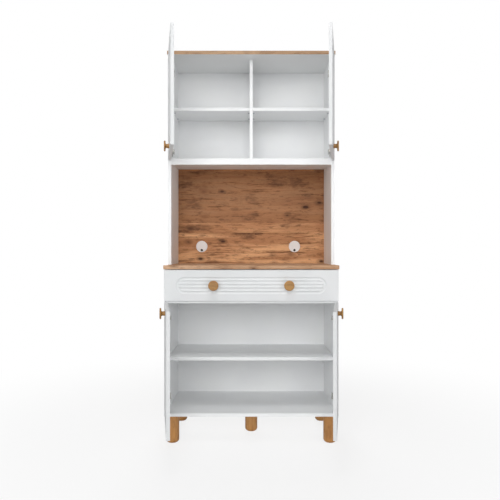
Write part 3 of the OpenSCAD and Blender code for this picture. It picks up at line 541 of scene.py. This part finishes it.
def door_way(door, inwards, backwards):
    """A direction on an open door, from its direction on the closed one."""
    side = door_frame(door)[1]
    way = Matrix.Rotation(-OPEN_ANGLE, 3, "Z") @ Vector((inwards, backwards, 0))
    return Vector((-side * way.x, way.y, 0))


def on_door(door, inwards, backwards, height):
    """A point of an open door, from its place on the closed one."""
    pivot = door_frame(door)[0]
    arm = door_way(door, inwards - PIVOT, backwards - PIVOT)
    return Vector((pivot.x + arm.x, pivot.y + arm.y, height))


def beside_door(door, inwards, backwards, height):
    """A point of the carcass, from the outer front corner of the closed door."""
    pivot, side = door_frame(door)
    return Vector((pivot.x - side * (inwards - PIVOT), pivot.y + backwards - PIVOT, height))


def hinge_heights(door):
    """The middle of the door's lower and of its upper hinge."""
    low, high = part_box(f"{door}_cups")
    reach = EAR_UP + EAR_R
    return low.z + reach, high.z - reach


def hinge_screws():
    """The screws of cups, plates and arms."""
    small = screw_head("small_screw")
    grub = screw_head("grub_screw")
    for door in DOORS:
        inward = Vector((-door_frame(door)[1], 0, 0))
        for hinge, height in enumerate(hinge_heights(door)):
            for up in (-1, 1):
                tag = f"{door}_{hinge}_{'high' if up > 0 else 'low'}"
                seat = on_door(door, CUP_IN + EAR_IN, DOOR_T + CUP_FLANGE, height + up * EAR_UP)
                copy_to(small, f"cup_screw_{tag}", seat, door_way(door, 0, 1), turn=0.6 * up,
                        body=f"{door}_door", slot="hinge_steel")
                seat = beside_door(door, PLATE_TOP, PLATE_BACK, height + up * PLATE_UP)
                copy_to(small, f"plate_screw_{tag}", seat, inward, turn=0.9 - 0.5 * up,
                        body="carcass", slot="hinge_steel")
            for place, backwards in ARM_SCREWS.items():
                seat = beside_door(door, ARM_TOP, backwards, height)
                copy_to(grub, f"arm_screw_{door}_{hinge}_{place}", seat, inward, turn=0.4,
                        body="carcass", slot="hinge_steel")
    for model in (small, grub):
        bpy.data.objects.remove(model)


def knob_screws():
    """The broad screw heads behind the knobs, on the backs of doors and drawer front."""
    broad = screw_head("broad_screw")
    for door in DOORS:
        low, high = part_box(f"{door}_knob")
        inwards = abs(door_frame(door)[0].x) + PIVOT - KNOB_X
        seat = on_door(door, inwards, DOOR_T, (low.z + high.z) / 2)
        copy_to(broad, f"{door}_knob_screw", seat, door_way(door, 0, 1), turn=0.3,
                body=f"{door}_door", slot="zinc_steel")
    for side in ("left", "right"):
        low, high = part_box(f"drawer_knob_{side}")
        middle = (low + high) / 2
        seat = Vector((middle.x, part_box("drawer_front")[1].y, middle.z))
        copy_to(broad, f"drawer_knob_screw_{side}", seat, (0, 1, 0), turn=0.5,
                body="drawer", slot="zinc_steel")
    bpy.data.objects.remove(broad)


def runner_screws():
    """The flat heads in the channels and the heads under the drawer's sides."""
    flat = screw_head("flat_screw")
    small = screw_head("foot_screw")
    low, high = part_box("drawer_channels")
    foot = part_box("drawer_runners")[0].z
    for name, side in (("left", -1), ("right", 1)):
        web = side * (high.x - SHEET)
        for place, share in enumerate(CHANNEL_SCREWS):
            seat = Vector((web, low.y + share * (high.y - low.y), (low.z + high.z) / 2))
            copy_to(flat, f"channel_screw_{name}_{place}", seat, (-side, 0, 0), turn=0.4 * place,
                    body="carcass", slot="zinc_steel")
        near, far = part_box(f"drawer_side_{name}")
        for place, share in enumerate(FOOT_SCREWS):
            seat = Vector(((near.x + far.x) / 2, near.y + share * (far.y - near.y), foot))
            copy_to(small, f"foot_screw_{name}_{place}", seat, (0, 0, -1), turn=0.7 * place,
                    body="drawer", slot="zinc_steel")
    for model in (flat, small):
        bpy.data.objects.remove(model)


hinge_screws()
knob_screws()
runner_screws()


# Cable outlets

def cable_flap(side):
    """A dark slit rubber disc that closes a cable hole from behind, dished in its face."""
    low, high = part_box(f"outlet_cap_{side}")
    middle_x, _, middle_z = joints[f"{side}_cap_turn"]["pos_m"]
    drop = (high.z - low.z) / 2 - CABLE_R - CABLE_EDGE
    bpy.ops.mesh.primitive_cylinder_add(vertices=FLAP_SIDES, radius=CABLE_R + FLAP_LAP,
                                        depth=FLAP_T,
                                        location=(middle_x, high.y + FLAP_T / 2, middle_z - drop),
                                        rotation=(math.pi / 2, 0, 0))
    flap, edit_mesh = begin(f"cable_flap_{side}")
    faces_towards(edit_mesh, (0, 0, 1))
    bpy.ops.mesh.inset(thickness=FLAP_RIM)
    bpy.ops.transform.translate(value=(0, FLAP_DISH, 0))
    settle()
    smooth(flap)
    for slit in range(SLITS):
        bpy.ops.mesh.primitive_cube_add(size=1, scale=(SLIT_LENGTH * CABLE_R, FLAP_T, SLIT_W),
                                        location=(middle_x, high.y, middle_z - drop),
                                        rotation=(0, slit * math.pi / SLITS, 0))
        combine(flap, bpy.context.object, "DIFFERENCE")
    flap.data.materials.clear()
    flap.data.materials.append(rubber_material)
    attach(flap, f"{side}_outlet_cap")


for side in ("left", "right"):
    cable_flap(side)


# Floor, light and camera

def floor():
    """A pale floor that fades to the white of the surroundings and keeps the cabinet's shadow."""
    bpy.ops.mesh.primitive_plane_add(size=FLOOR_SIZE, location=(0, 0, 0))
    ground = bpy.context.object
    ground.name = "floor"
    pale = Finish("pale_floor", 0.9)
    pale.colour(tone(244, 244, 244))
    distance = pale.add("ShaderNodeVectorMath", {0: pale.place}, operation="LENGTH")
    seen = pale.add("ShaderNodeLightPath").outputs["Is Camera Ray"]
    fade = pale.span(distance.outputs["Value"], *FADE, NEAR_WHITE, 1.0)
    white = pale.number("MULTIPLY", seen, fade)
    glow = pale.add("ShaderNodeEmission").outputs["Emission"]
    shaders = {"Fac": white, 1: pale.shader.outputs["BSDF"], 2: glow}
    blend = pale.add("ShaderNodeMixShader", shaders).outputs["Shader"]
    pale.feed(pale.tree.nodes["Material Output"], "Surface", blend)
    ground.data.materials.append(pale.material)
    bpy.ops.object.select_all(action="DESELECT")


def world_light(strength):
    """An even white surrounding that gives soft light and shows as white."""
    world = bpy.data.worlds.new("studio")
    bpy.context.scene.world = world
    world.use_nodes = True
    tree = world.node_tree
    background = tree.nodes["Background"]
    background.inputs["Color"].default_value = (1, 1, 1, 1)
    path = tree.nodes.new("ShaderNodeLightPath")
    shown = path.outputs["Is Camera Ray"]
    for ray in ("Is Glossy Ray", "Is Transmission Ray"):
        either = tree.nodes.new("ShaderNodeMath")
        either.operation = "MAXIMUM"
        tree.links.new(shown, either.inputs[0])
        tree.links.new(path.outputs[ray], either.inputs[1])
        shown = either.outputs["Value"]
    level = tree.nodes.new("ShaderNodeMapRange")
    level.inputs["To Min"].default_value = strength
    level.inputs["To Max"].default_value = 1.0
    tree.links.new(shown, level.inputs["Value"])
    tree.links.new(level.outputs["Result"], background.inputs["Strength"])


def soft_lamp(name, place, target, width, watts):
    """A square lamp that faces a point."""
    lamp = bpy.data.lights.new(name, "AREA")
    lamp.shape = "SQUARE"
    lamp.size = width
    lamp.energy = watts
    holder = bpy.data.objects.new(name, lamp)
    bpy.context.scene.collection.objects.link(holder)
    holder.location = place
    holder.rotation_euler = (Vector(target) - Vector(place)).to_track_quat("-Z", "Y").to_euler()


def camera():
    """Level, a little above the countertop, straight in front."""
    eye = bpy.data.objects.new("camera", bpy.data.cameras.new("camera"))
    bpy.context.scene.collection.objects.link(eye)
    eye.location = EYE
    eye.rotation_euler = (math.radians(90), 0, 0)
    eye.data.sensor_width = SENSOR
    eye.data.lens = LENS
    bpy.context.scene.camera = eye


floor()
world_light(SURROUNDINGS)
for lamp in LAMPS:
    soft_lamp(*lamp)
camera()
bpy.context.scene.view_settings.view_transform = "Standard"
